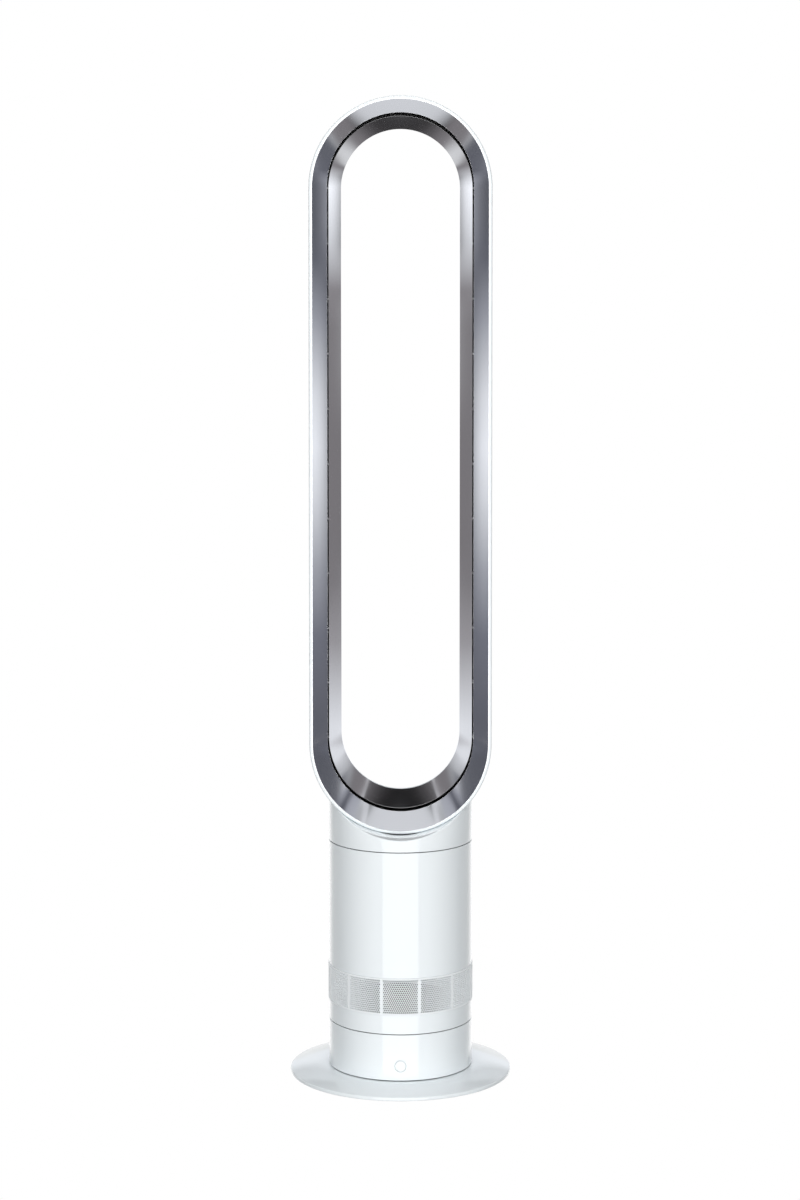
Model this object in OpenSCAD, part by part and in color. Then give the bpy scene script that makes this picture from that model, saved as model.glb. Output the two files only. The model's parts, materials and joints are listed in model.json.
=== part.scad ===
// Bladeless tower fan. Millimetres, +Z up, the front faces -Y,
// the origin is the centre of the underside.

/* [Overall] */
// Height from the floor to the top of the loop
fan_h = 1007; // [970:1:1050]
// Radius of the round body
body_r = 74; // [73:0.5:77]
// Wall of the body shells
wall = 2.4; // [2:0.1:2.8]
// Width of the dark seam between two shells
seam_w = 0.8; // [0.5:0.1:1.2]

/* [Base] */
// Radius of the base disc
base_r = 114; // [110:1:124]
// Height of the rubber feet
foot_h = 1.2; // [1:0.1:2]
// Radius of one rubber foot
foot_r = 7; // [5:0.5:8]
// Number of rubber feet, with a bottom screw between each two
foot_count = 6; // [4:1:8]
// Height of the base disc's rim
rim_h = 4; // [3.6:0.1:5]
// Rise of the base disc's crown above its rim
crown_rise = 4.4; // [4:0.1:6]
// Rounding of the base disc's rim
rim_round = 1.4; // [1:0.1:1.7]
// Thickness of the bottom plate
bottom_t = 1.6; // [1.4:0.1:2]
// Thickness of the steel ballast plate
ballast_t = 3; // [2:0.1:3.2]
// Room between the ballast plate and the bottom screws
ballast_gap = 12.6; // [12:0.2:16]
// Floor of the base disc over the ballast
floor_t = 2; // [1.8:0.1:2.4]
// Height of the posts that carry the chassis deck
post_h = 32.2; // [31:0.2:34]
// Radius of one post
post_r = 4; // [3.6:0.1:5]
// Place of the deck screws, as a share of the body's radius
post_share = 0.838; // [0.82:0.001:0.85]

/* [Lower body] */
// Height of the lower body shell
lower_h = 46.6; // [46:0.2:48]
// Height of the button's centre above the shell's lower edge
button_rise = 14.5; // [14:0.5:16]
// Radius of the button
button_r = 5.6; // [5:0.1:6]
// Travel of the button
button_travel = 1.2; // [0.8:0.1:1.4]
// Radius of the cord gland
gland_r = 7; // [6:0.5:8]
// Radius of the cord's hole through the gland
gland_bore_r = 3.8; // [3.4:0.1:4.2]

/* [Main body] */
// Height of the main body shell
main_h = 185.2; // [183:0.2:200]
// Height of the perforated field above the shell's lower edge
grille_rise = 21.1; // [20:0.1:24]
// Height of the perforated field
grille_h = 34.6; // [30:0.2:36]
// How far the grille stands proud of the shell
grille_proud = 0.6; // [0.4:0.1:1]
// Thickness of the grille's sheet
grille_t = 1.2; // [1:0.1:1.4]
// Number of perforated panels round the body
panel_count = 12; // [8:1:12]
// Rows of holes in a panel
hole_rows = 6; // [4:1:7]
// Holes in the longer rows of a panel
hole_cols = 6; // [4:1:7]
// Radius of one hole
hole_r = 1.8; // [1.2:0.1:2]
// Width of the plain strip between two panels
panel_rib = 2.6; // [2:0.1:3.5]

/* [Collar] */
// Height of the loop's lowest point above the collar's lower edge
loop_rise = 12.2; // [11:0.2:16]
// Depth of the collar's spigot in the main body
spigot_h = 7; // [5:0.5:9]

/* [Loop] */
// Overall width of the loop
loop_w = 185.6; // [182:0.2:190]
// Distance of the loop's front plane from the axis
loop_front = 44; // [43:0.5:48]
// Distance of the loop's rear edge from the axis
loop_rear = 60; // [57:0.5:64]
// Wall of the loop's shell
loop_wall = 2.2; // [2:0.1:2.6]
// Width of the white rim round the front band
rim_w = 3.1; // [2.8:0.1:3.6]
// Thickness of the rim's flange
rim_t = 3; // [2.4:0.1:3.6]
// Rounding of the loop's front edge
loop_round = 1.4; // [1:0.1:2]
// Distance of the narrowest throat behind the axis
throat_back = 38; // [36:0.5:40]
// Radius of the narrowest throat
throat_r = 61.7; // [60:0.1:63]
// Inner radius of the air slit
slit_r = 73.6; // [72.5:0.1:74]
// Width of the air slit
slit_w = 1.3; // [1:0.1:1.6]
// Distance of the air slit in front of the axis
slit_front = 3.8; // [2:0.1:6]
// Thickness of the rear band at the throat
band_t = 1.8; // [1.4:0.1:2.2]
// Thickness of the rear band's lip at the slit
lip_t = 0.4; // [0.3:0.1:0.9]
// Radius of the front band's rolled edge at the slit
bead_r = 1.5; // [1.2:0.1:1.7]
// Distance between two slit spacers
spacer_pitch = 53; // [45:0.2:80]

/* [Turntable] */
// Thickness of the chassis deck
deck_t = 3; // [2.6:0.1:3.4]
// Radius of the pivot post
pivot_r = 12; // [11.5:0.1:12.5]
// Radius of the wiring bore in the pivot post
pivot_bore_r = 8.5; // [7.5:0.1:9]
// Radius of the ball track, as a share of the body's
track_share = 0.703; // [0.697:0.001:0.709]
// Radius of one ball
ball_r = 2.4; // [2.2:0.1:2.5]
// Number of balls
ball_count = 18; // [10:1:24]
// Width of a bearing race
race_w = 9; // [8:0.1:9.6]
// Thickness of a bearing race
race_t = 2; // [1.8:0.1:2.2]
// Depth of the ball's groove in a race
groove_d = 0.8; // [0.6:0.1:1]
// Thickness of the swivel plate
plate_t = 3; // [2.6:0.1:3.4]
// Wall of the swivel plate's hub
hub_t = 3; // [2.5:0.1:3.5]

/* [Drive] */
// Module of the teeth, as a share of the body's radius
module_share = 0.01689; // [0.01625:0.00001:0.0171]
// Teeth of the drive pinion
pinion_teeth = 12; // [12:1:12]
// Teeth of the ring gear
ring_teeth = 60; // [60:1:60]
// Height of the pinion's teeth
pinion_h = 7; // [6:0.5:8]
// Wall of the ring gear behind its teeth
ring_wall = 3.4; // [3:0.1:4]
// Radius of the oscillation motor, as a share of the body's
drive_share = 0.189; // [0.163:0.001:0.202]
// Height of the oscillation motor
drive_h = 18; // [15:0.5:20]
// Radius of the pinion's spindle
spindle_r = 2; // [1.8:0.1:2.5]

/* [Air path] */
// Thickness of the rubber isolation ring
isolation_t = 3; // [2.5:0.1:4]
// Height of the impeller housing
housing_h = 37.6; // [37:0.1:39]
// Wall of the air ducts
duct_t = 2; // [1.8:0.1:2.4]
// Room between the diffuser housing and the top of the main body
plenum_h = 27; // [26:0.5:30]
// Number of diffuser vanes
vane_count = 11; // [7:1:13]
// Thickness of one diffuser vane
vane_t = 1.6; // [1.3:0.1:2]
// Radius of the opening from the neck into the loop, as a share of the body's
mouth_share = 0.46; // [0.433:0.001:0.473]
// Thickness of the gasket between the neck duct and the loop
gasket_t = 1.5; // [1.2:0.1:1.8]

/* [Impeller] */
// Radius over the blades at the inlet, as a share of the body's
eye_share = 0.557; // [0.541:0.001:0.567]
// Radius over the blades at the outlet, as a share of the body's
exit_share = 0.773; // [0.763:0.001:0.778]
// Height of the bladed cone
blade_h = 28; // [26:0.5:28.5]
// Number of blades
blade_count = 11; // [7:1:13]
// Thickness of one blade
blade_t = 1.6; // [1.2:0.1:2]
// Radius of a blade's curve in plan
blade_arc_r = 40; // [38:0.5:44]
// Lean of a blade from radial where it leaves the hub
blade_lean = 30; // [24:1:34]
// Gap between the blade tips and the housing
tip_gap = 0.8; // [0.6:0.1:1]
// Radius of the hub's nose
nose_r = 11; // [10:0.5:12]

/* [Motor] */
// Radius of the motor bucket, as a share of the body's
bucket_share = 0.595; // [0.582:0.001:0.608]
// Height of the motor bucket's lower half
bucket_h = 27; // [26.5:0.1:28]
// Height of the motor cover's dome
dome_h = 16; // [12:0.5:17]
// Radius of the motor shaft
shaft_r = 3; // [2.8:0.1:3.2]
// Outer radius of a shaft bearing
bearing_r = 11; // [10:0.1:12]
// Height of a shaft bearing
bearing_h = 5; // [4.5:0.1:5]
// Outer radius of the stator, as a share of the body's
stator_share = 0.473; // [0.446:0.001:0.486]
// Height of the stator's laminations
stator_h = 15; // [13:0.5:15.5]
// Number of stator poles
pole_count = 6; // [6:1:9]
// Radius of the rotor, as a share of the body's
rotor_share = 0.208; // [0.19:0.001:0.21]

/* [Fasteners] */
// Radius of a screw's shank
screw_r = 1.5; // [1.3:0.1:1.6]
// Radius of a screw's head
head_r = 2.8; // [2.5:0.1:3]
// Height of a screw's head
head_h = 1.8; // [1.6:0.1:2]
// Height of a bottom screw's flat head
flat_head_h = 0.8; // [0.6:0.1:0.9]
// Length of the screws that hold two plates together
plate_screw_l = 6; // [5.6:0.1:6.6]
// Length of the screws that hold the chassis deck
deck_screw_l = 12; // [8:0.5:14]

/* [Fits] */
// Gap between nested shells
fit = 0.3; // [0.2:0.05:0.35]
// Gap round a screw, a bearing or a board
seat_fit = 0.05; // [0.03:0.01:0.08]
// Radial gap of a turning fit
run_fit = 0.05; // [0.03:0.01:0.08]

/* [Hidden] */
$fn = 96;

// Overrun of every cut past the faces that it goes through
cut = 1;

// Radii inside the shells
inner_r = body_r - wall;
nest_r = inner_r - fit;
ring_t = 2.7;
ledge_r = nest_r - ring_t;
ledge_t = 2;

// Heights, from the floor up
base_z = foot_h;
ballast_z = base_z + bottom_t;
floor_z = ballast_z + ballast_t + floor_t;
disc_z = base_z + rim_h + crown_rise;
ring_h = 5.4;
ring_z = disc_z + ring_h;
lower_z = disc_z + seam_w;
lower_top = lower_z + lower_h;
deck_z = floor_z + post_h;
deck_top = deck_z + deck_t;
main_z = lower_top + seam_w;
main_top = main_z + main_h;
collar_z = main_top + seam_w;
plate_top = main_z + plate_t;

// Base disc
crown_land = 0.8;
crown_r = body_r + crown_land;
bottom_r = base_r - rim_h - rim_round;
bottom_inset = 8;
bottom_place = bottom_r - bottom_inset;
ballast_r = bottom_place - ballast_gap;
foot_place = bottom_r - foot_r - rim_round;
crown_steps = 8;
bottom_screw_depth = 3;
ballast_hole_r = 25;

// Screws of the deck, the swivel plate and the housings
post_angles = [45, 135, 225, 315];
post_place = body_r*post_share;
swivel_place = nest_r - ring_t - head_r;
housing_place = nest_r - head_r - fit;
flange_inset = 1.3;

// Button, board and gland
button_z = lower_z + button_rise;
button_gap = 0.2;
sleeve_t = 1.8;
sleeve_l = 4.6;
button_flange_t = 1;
button_flange_r = button_r + sleeve_t;
sleeve_y = inner_r - sleeve_l;
flange_y = sleeve_y - fit;
stop_y = flange_y - button_flange_t;
switch_y = stop_y - button_travel - fit;
switch_d = 3.4;
switch_w = 6;
board_y = switch_y - switch_d;
board_t = 1.6;
board_w = 44;
board_h = 28;
guide_w = 6;
guide_d = 4;
guide_h = 12;
display_w = 12;
display_h = 7;
display_d = 6;
display_rise = 1;
display_x = -14;
receiver_w = 5;
receiver_h = 6;
receiver_d = 5;
receiver_x = 14;
gland_l = 5.4;
gland_lip_w = 1.4;
gland_lip_t = 1.2;
gland_lip_gap = 0.1;
gland_z = disc_z + gland_r;

// Turntable
ball_z = deck_top + race_t - groove_d + ball_r + run_fit;
track_r = body_r*track_share;
upper_gap = 0.15;
upper_race_z = ball_z + ball_r - groove_d + upper_gap;
race_boss_z = upper_race_z + race_t;
cage_w = 7;
cage_t = 1.3;
hub_r = pivot_r + run_fit;
hub_z = deck_top + fit;
hub_rise = 3;
hub_top = plate_top + hub_rise;
clip_t = 1.5;
clip_w = 2.2;
clip_depth = 1;
clip_z = hub_top + run_fit;
pivot_top = clip_z + clip_t + clip_depth;

// Gears
pressure = 20;
gear_m = body_r*module_share;
mesh_place = gear_m*(ring_teeth - pinion_teeth)/2;
pinion_tip_share = 0.88;
pinion_root_share = 1.25;
ring_tip_share = 0.6;
ring_root_share = 1.16;
pinion_tip = gear_m*(pinion_teeth/2 + pinion_tip_share);
pinion_root = gear_m*(pinion_teeth/2 - pinion_root_share);
ring_tip = gear_m*(ring_teeth/2 - ring_tip_share);
ring_root = gear_m*(ring_teeth/2 + ring_root_share);
backlash = 0.15;
pinion_z = deck_top + ledge_t;
gear_lap = 1;
ring_gear_z = pinion_z + gear_lap;
flank_steps = 5;
spindle_l = 8;
spindle_hole_r = 3.2;
drive_flange_t = 1.5;
drive_flange_w = 10;
drive_r = body_r*drive_share;
drive_screw_place = drive_r + head_r + fit;

// Inlet
grille_z = main_z + grille_rise;
grille_margin = 1.4;
sleeve_low = grille_z - grille_margin;
sleeve_top = grille_z + grille_h + grille_margin;
grille_r = body_r + grille_proud;
grille_in_r = grille_r - grille_t;
window_r = grille_in_r - seat_fit;
window_edge = 0.5;
panel_angle = 360/panel_count;
rib_angle = 360*panel_rib/(2*PI*body_r);
rib_grow_share = 1.4;
edge_share = 0.6;
row_pitch = grille_h/(hole_rows + 2*edge_share - 1);
col_angle = (panel_angle - rib_angle)/(hole_cols + 2*edge_share - 1);
foam_low_h = 14;

// Impeller housing, from the seat in the main body up
seat_rise = 4.5;
seat_z = sleeve_top + seat_rise;
seat_w = 7.3;
seat_in_r = nest_r - seat_w;
flange_z = seat_z + isolation_t;
flange_t = 2.4;
housing_top = flange_z + housing_h;
eye_rise = 5.6;
blade_z = flange_z + eye_rise;
blade_top = blade_z + blade_h;
eye_r = body_r*eye_share;
exit_r = body_r*exit_share;
eye_wall_r = eye_r + tip_gap;
exit_wall_r = exit_r + tip_gap;
bell_w = 8;
bell_r = eye_wall_r + bell_w;
bell_steps = 6;
duct_out_r = exit_wall_r + duct_t;

// Impeller
nose_drop = 2;
bucket_r = body_r*bucket_share;
hub_out_r = bucket_r - tip_gap;
back_t = 1.4;
impeller_z = blade_z - nose_drop;
impeller_top = blade_top + back_t;
blade_lap = 1;
nut_h = 5;
nut_r = 5.5;
hub_wall = 3;

// Motor bucket, from the housing's top up
bucket_z = housing_top + tip_gap;
bucket_floor = bucket_z + duct_t;
bucket_top = bucket_z + bucket_h;
bucket_in_r = bucket_r - duct_t;
boss_t = 2.4;
stator_r = body_r*stator_share;
rotor_r = body_r*rotor_share;
shaft_hole_r = 8;
stator_seat_h = 8;
stator_lap = 4;
stator_z = bucket_floor + stator_seat_h;
vane_rise = 1;
vane_h = bucket_h - 2*vane_rise - duct_t;
vane_arc_r = 30;
plate2_t = 2;
plate2_top = bucket_top + plate2_t;
board_post_h = 8;
board_post_r = 2;
board_post_place = 26;
board_in_r = 15;
board_out_r = 30;
cover_wall_h = 6;
dome_steps = 8;
pole_w = 6;
pole_gap = 0.6;
pole_tip_t = 2;
yoke_t = 8;
coil_t = 2.5;
coil_over = 1.5;
coil_gap = 1;
diffuser_top = main_top - plenum_h;

// Neck
seal_t = 3;
seal_lap = 0.5;
duct_z = diffuser_top + seal_t;
duct_foot_h = 3;
cone_h = 24;
mouth_r = body_r*mouth_share;
spigot_z = collar_z - spigot_h;
collar_floor_t = 2.4;
collar_gap = 0.2;

// Loop
loop_r = loop_w/2;
loop_z = collar_z + loop_rise;
arc_low_z = loop_z + loop_r;
arc_high_z = fan_h - loop_r;
nose_c = (loop_r + throat_r)/2;
nose_w = (loop_r - throat_r)/2;
nose_d = loop_rear - throat_back;
nose_power_share = 2.4;
nose_steps = 14;
trim_gap = 0.2;
band_inset = 0.4;
band_r = loop_r - rim_w - trim_gap;
band_front = loop_front - band_inset;
rim_back = loop_front - rim_t;
bead_c = slit_r + slit_w + bead_r;
roof_r = loop_r + collar_gap;
cavity_r = roof_r + wall;
boss_h = 5;
boss_r = 3.6;
loop_screw_d = 20;
loop_screw_angle = 32;
spacer_t = 1.5;
spacer_back = 14;
spacer_rise = 3.4;

// Point of the involute flank, as an angle from where it leaves the base circle
function involute(ratio) = let(roll = sqrt(max(ratio*ratio - 1, 0)))
    roll*180/PI - atan(roll);

// Half the angle of a tooth at radius r, for a gear of pitch radius p
function half_tooth(r, p, teeth, slack) = let(base = p*cos(pressure))
    90/teeth - slack/(2*p)*180/PI + involute(p/base) - involute(max(r, base)/base);

// Outline of a gear with its first tooth on +X
function gear_outline(teeth, root, tip, slack) = let(p = gear_m*teeth/2) [
    for (i = [0:teeth - 1], side = [-1, 1], k = [0:flank_steps])
        let(share = side < 0 ? k/flank_steps : 1 - k/flank_steps,
            r = root + (tip - root)*share,
            a = 360*i/teeth + side*half_tooth(r, p, teeth, slack))
        [r*cos(a), r*sin(a)]
];

// Points of an ellipse round c, from angle a0 to a1
function ellipse_points(c, w, h, a0, a1, steps) = [
    for (i = [0:steps]) let(a = a0 + (a1 - a0)*i/steps) [c[0] + w*cos(a), c[1] + h*sin(a)]
];

// Points of the loop's rounded rear, wall thickness t in from the outside
function nose_points(t) = [
    for (i = [0:nose_steps]) let(a = 180*i/nose_steps, c = cos(a), s = max(sin(a), 0))
        [nose_c + (nose_w - t)*sign(c)*pow(abs(c), 2/nose_power_share),
         -throat_back - (nose_d - t)*pow(s, 2/nose_power_share)]
];

function reversed(list) = [for (i = [len(list) - 1:-1:0]) list[i]];

// Radius of the rear band's outer face at depth d in front of the axis
function rear_band_r(d) = let(share = (d + throat_back)/(slit_front + throat_back))
    throat_r + band_t + (slit_r + lip_t - throat_r - band_t)*share;

// Ring between two radii, standing on z
module ring(r_in, r_out, z, h) {
    translate([0, 0, z]) difference() {
        cylinder(r = r_out, h = h);
        translate([0, 0, -cut]) cylinder(r = r_in, h = h + 2*cut);
    }
}

// Copies of the children at each angle, a distance from the axis
module around(angles, place) {
    for (a = angles) rotate([0, 0, a]) translate([place, 0, 0]) children();
}

function spread(count, start = 0) = [for (i = [0:count - 1]) start + 360*i/count];

// Screw with its head on z = 0 and its shank down
module screw(shank, head = head_h) {
    difference() {
        union() {
            cylinder(r = head_r, h = head);
            translate([0, 0, -shank]) cylinder(r = screw_r, h = shank);
        }
        translate([0, 0, head/2]) cylinder(r = screw_r, h = head, $fn = 6);
    }
}

// Hole for that screw, open above and below
module screw_hole(depth, grow = seat_fit) {
    translate([0, 0, -depth]) cylinder(r = screw_r + grow, h = depth + cut);
}

// Upright door-shaped section of the cord gland, grown by g
module gland_section(g) {
    translate([0, gland_z]) circle(r = gland_r + g);
    translate([-gland_r - g, disc_z]) square([2*(gland_r + g), gland_z - disc_z]);
}

// Prism of a section in X and Z, from y0 back to y1
module along_y(y0, y1) {
    translate([0, y1, 0]) rotate([90, 0, 0]) linear_extrude(y1 - y0) children();
}

// Sweep of a section in radius and depth round the loop
module loop_sweep() {
    translate([0, 0, arc_high_z]) rotate([90, 0, 0]) rotate_extrude(angle = 180) children();
    translate([0, 0, arc_low_z]) rotate([0, 180, 0]) rotate([90, 0, 0])
        rotate_extrude(angle = 180) children();
    for (side = [0, 180]) rotate([0, 0, side]) translate([0, 0, arc_low_z])
        linear_extrude(arc_high_z - arc_low_z) mirror([0, side == 0 ? 1 : 0]) children();
}

// Cylinder along Y about the centre of the loop's lower arc
module loop_cylinder(r) {
    translate([0, base_r, arc_low_z]) rotate([90, 0, 0]) cylinder(r = r, h = 2*base_r);
}

// Places the children at the loop's screws, +Z pointing in to the arc's centre
module at_loop_screws(r) {
    for (a = [-loop_screw_angle, loop_screw_angle], d = [-loop_screw_d, loop_screw_d])
        translate([0, d, arc_low_z]) rotate([0, a, 0]) translate([0, 0, -r]) children();
}

module foot_pads() {
    color("dimgray") around(spread(foot_count), foot_place)
        cylinder(r = foot_r, h = foot_h);
}

module bottom_plate() {
    color("gainsboro") difference() {
        translate([0, 0, base_z]) cylinder(r = bottom_r, h = bottom_t);
        around(spread(foot_count, 180/foot_count), bottom_place)
            translate([0, 0, base_z + bottom_t]) screw_hole(bottom_t + cut);
    }
}

module bottom_screws() {
    color("silver") around(spread(foot_count, 180/foot_count), bottom_place)
        translate([0, 0, base_z]) rotate([180, 0, 0])
            screw(bottom_t + bottom_screw_depth, flat_head_h);
}

module ballast_plate() {
    color("slategray") ring(ballast_hole_r, ballast_r, ballast_z, ballast_t);
}

module base_disc() {
    span = base_r - rim_round - crown_r;
    rim_top = base_z + rim_h;
    lip = [base_r - rim_round, base_z + rim_round];
    color("white") difference() {
        union() {
            rotate_extrude() polygon(concat(
                [[0, ballast_z + ballast_t],
                 [ballast_r + fit, ballast_z + ballast_t],
                 [ballast_r + fit, ballast_z],
                 [bottom_r + fit, ballast_z],
                 [bottom_r + fit, base_z]],
                ellipse_points(lip, rim_round, rim_round, -90, 0, 4),
                ellipse_points([lip[0], rim_top - rim_round], rim_round, rim_round, 0, 75, 4),
                [for (i = [crown_steps - 1:-1:0]) let(share = i/crown_steps)
                    [crown_r + span*share, disc_z - crown_rise*share*share]],
                [[nest_r, disc_z], [nest_r, ring_z], [ledge_r, ring_z],
                 [ledge_r, floor_z], [0, floor_z]]));
            around(post_angles, post_place) translate([0, 0, floor_z - floor_t/2])
                cylinder(r = post_r, h = post_h + floor_t/2);
            for (side = [-1, 1])
                translate([side*(board_w/2 - guide_w) - guide_w/2, -board_y + board_t,
                           floor_z - floor_t/2])
                    cube([guide_w, guide_d, guide_h + floor_t/2]);
        }
        around(post_angles, post_place) translate([0, 0, deck_z]) screw_hole(deck_screw_l);
        around(spread(foot_count, 180/foot_count), bottom_place)
            translate([0, 0, ballast_z + bottom_screw_depth])
                screw_hole(bottom_screw_depth + cut);
        along_y(ledge_r - cut, inner_r) gland_section(fit);
    }
}

module lower_shell() {
    color("white") difference() {
        union() {
            ring(inner_r, body_r, lower_z, lower_h);
            ring(ledge_r, inner_r + wall/2, ring_z, ledge_t);
            ring(ledge_r, inner_r + wall/2, deck_z - ledge_t, ledge_t);
            translate([0, 0, button_z]) rotate([90, 0, 0]) translate([0, 0, sleeve_y])
                cylinder(r = button_flange_r, h = sleeve_l + wall/2);
        }
        translate([0, 0, button_z]) rotate([90, 0, 0]) translate([0, 0, sleeve_y - cut])
            cylinder(r = button_r + button_gap, h = sleeve_l + wall + 2*cut);
        translate([0, 0, -cut]) along_y(ledge_r - cut, body_r + cut) gland_section(fit);
        along_y(ledge_r - cut, body_r + cut) gland_section(fit);
    }
}

module cord_inlet() {
    back = body_r + gland_lip_gap + gland_lip_t;
    color("gainsboro") difference() {
        union() {
            along_y(inner_r - gland_l, back) gland_section(0);
            along_y(back - gland_lip_t, back) intersection() {
                gland_section(gland_lip_w);
                translate([-base_r, disc_z]) square(2*base_r);
            }
        }
        along_y(inner_r - gland_l - cut, back + cut)
            translate([0, gland_z]) circle(r = gland_bore_r);
    }
}

module base_chassis() {
    color("lightgray") difference() {
        union() {
            translate([0, 0, deck_z]) cylinder(r = nest_r, h = deck_t);
            translate([0, 0, deck_z]) cylinder(r = pivot_r, h = pivot_top - deck_z);
        }
        translate([0, 0, deck_z - cut])
            cylinder(r = pivot_bore_r, h = pivot_top - deck_z + 2*cut);
        ring(pivot_r - clip_depth, pivot_r + cut, clip_z, clip_t);
        around(post_angles, post_place) translate([0, 0, deck_top]) screw_hole(deck_t + cut);
        translate([0, mesh_place, deck_z - cut])
            cylinder(r = spindle_hole_r, h = deck_t + 2*cut);
        for (side = [-1, 1]) translate([side*drive_screw_place, mesh_place, deck_top])
            screw_hole(deck_t + cut);
    }
}

module chassis_screws() {
    color("silver") around(post_angles, post_place) translate([0, 0, deck_top])
        screw(deck_t + deck_screw_l - cut);
}

module control_board() {
    color("darkgreen") translate([-board_w/2, -board_y, floor_z])
        cube([board_w, board_t, board_h]);
}

// Block on the front of the control board
module board_block(x, z, w, h, d) {
    translate([x - w/2, -board_y - d, z - h/2]) cube([w, d, h]);
}

module tact_switch() {
    color("black") board_block(0, button_z, switch_w, switch_w, switch_d);
}

module display_module() {
    color("dimgray") board_block(display_x, floor_z + board_h - display_rise - display_h/2,
                                 display_w, display_h, display_d);
}

module remote_receiver() {
    color("black") board_block(receiver_x, button_z, receiver_w, receiver_h, receiver_d);
}

module oscillation_motor() {
    color("silver") translate([0, mesh_place, 0]) difference() {
        union() {
            translate([0, 0, deck_z - drive_h]) cylinder(r = drive_r, h = drive_h);
            for (side = [-1, 1]) translate([side*drive_screw_place, 0, deck_z - drive_flange_t])
                cylinder(r = drive_flange_w/2, h = drive_flange_t);
            translate([-drive_screw_place, -drive_flange_w/2, deck_z - drive_flange_t])
                cube([2*drive_screw_place, drive_flange_w, drive_flange_t]);
        }
        translate([0, 0, deck_z - spindle_l]) cylinder(r = spindle_r + run_fit, h = drive_h);
        for (side = [-1, 1]) translate([side*drive_screw_place, 0, deck_z])
            screw_hole(drive_flange_t + cut);
    }
}

module motor_screws() {
    color("silver") for (side = [-1, 1])
        translate([side*drive_screw_place, mesh_place, deck_top])
            screw(deck_t + drive_flange_t + cut);
}

// Race with its ball groove on the side of the balls
module race(z) {
    difference() {
        ring(track_r - race_w/2, track_r + race_w/2, z, race_t);
        translate([0, 0, ball_z]) rotate_extrude() translate([track_r, 0])
            circle(r = ball_r + run_fit);
    }
}

module lower_race() {
    color("silver") race(deck_top);
}

module bearing_balls() {
    color("gainsboro") around(spread(ball_count), track_r)
        translate([0, 0, ball_z]) sphere(r = ball_r);
}

module ball_cage() {
    color("peru") difference() {
        ring(track_r - cage_w/2, track_r + cage_w/2, ball_z - cage_t/2, cage_t);
        around(spread(ball_count), track_r) translate([0, 0, ball_z - cage_t])
            cylinder(r = ball_r + run_fit, h = 2*cage_t);
    }
}

module retaining_ring() {
    color("silver") difference() {
        ring(pivot_r - clip_depth + seat_fit, pivot_r + clip_w, clip_z, clip_t);
        translate([0, -clip_w, clip_z - cut]) cube([2*pivot_r, 2*clip_w, clip_t + 2*cut]);
    }
}

module power_button() {
    color("white") difference() {
        union() {
            intersection() {
                translate([0, 0, button_z]) rotate([90, 0, 0]) translate([0, 0, flange_y])
                    cylinder(r = button_r, h = body_r);
                translate([0, 0, lower_z]) cylinder(r = body_r, h = lower_h);
            }
            translate([0, 0, button_z]) rotate([90, 0, 0]) translate([0, 0, stop_y])
                cylinder(r = button_flange_r, h = button_flange_t);
        }
        translate([0, 0, button_z]) rotate([90, 0, 0]) translate([0, 0, body_r])
            difference() {
                cylinder(r = button_r - sleeve_t/2, h = 2*button_gap, center = true);
                cylinder(r = button_r - sleeve_t, h = 4*button_gap, center = true);
            }
    }
}

module drive_pinion() {
    color("wheat") translate([0, mesh_place, 0]) {
        translate([0, 0, pinion_z]) linear_extrude(pinion_h)
            polygon(gear_outline(pinion_teeth, pinion_root, pinion_tip, backlash));
        translate([0, 0, deck_z - spindle_l + run_fit])
            cylinder(r = spindle_r, h = pinion_z - deck_z + spindle_l);
    }
}

module swivel_plate() {
    color("lightgray") difference() {
        union() {
            ring(hub_r, nest_r, main_z, plate_t);
            ring(hub_r, hub_r + hub_t, hub_z, hub_top - hub_z);
            ring(track_r - race_w/2, track_r + race_w/2, race_boss_z, plate_top - race_boss_z);
        }
        around(post_angles, swivel_place) translate([0, 0, plate_top]) screw_hole(plate_t + cut);
    }
}

module ring_gear() {
    color("wheat") difference() {
        translate([0, 0, ring_gear_z])
            cylinder(r = ring_root + ring_wall, h = main_z - ring_gear_z);
        translate([0, 0, ring_gear_z - cut]) linear_extrude(main_z - ring_gear_z + 2*cut)
            polygon(gear_outline(ring_teeth, ring_tip, ring_root, -backlash));
    }
}

module upper_race() {
    color("silver") race(upper_race_z);
}

module swivel_screws() {
    color("silver") around(post_angles, swivel_place) translate([0, 0, main_z])
        rotate([180, 0, 0]) screw(plate_t + ledge_t);
}

module main_shell() {
    low = grille_z - window_edge;
    color("white") difference() {
        union() {
            ring(inner_r, body_r, main_z, main_h);
            ring(swivel_place - head_r, inner_r + wall/2, plate_top, ledge_t + wall/2);
            ring(seat_in_r, inner_r + wall/2, seat_z - ledge_t, ledge_t);
            ring(ledge_r, inner_r + wall/2, spigot_z - ledge_t, ledge_t);
        }
        ring(window_r, body_r + cut, sleeve_low - fit/2, sleeve_top - sleeve_low + fit);
        for (i = [0:panel_count - 1])
            rotate([0, 0, panel_angle*i + rib_angle*rib_grow_share/2 - panel_angle/2 - 90])
                rotate_extrude(angle = panel_angle - rib_angle*rib_grow_share)
                    translate([inner_r - cut, low])
                        square([wall + 2*cut, grille_h + 2*window_edge]);
        around(post_angles, swivel_place) translate([0, 0, plate_top])
            translate([0, 0, ledge_t]) screw_hole(ledge_t + cut);
        around(post_angles, housing_place) translate([0, 0, seat_z])
            screw_hole(ledge_t + cut);
    }
}

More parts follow.
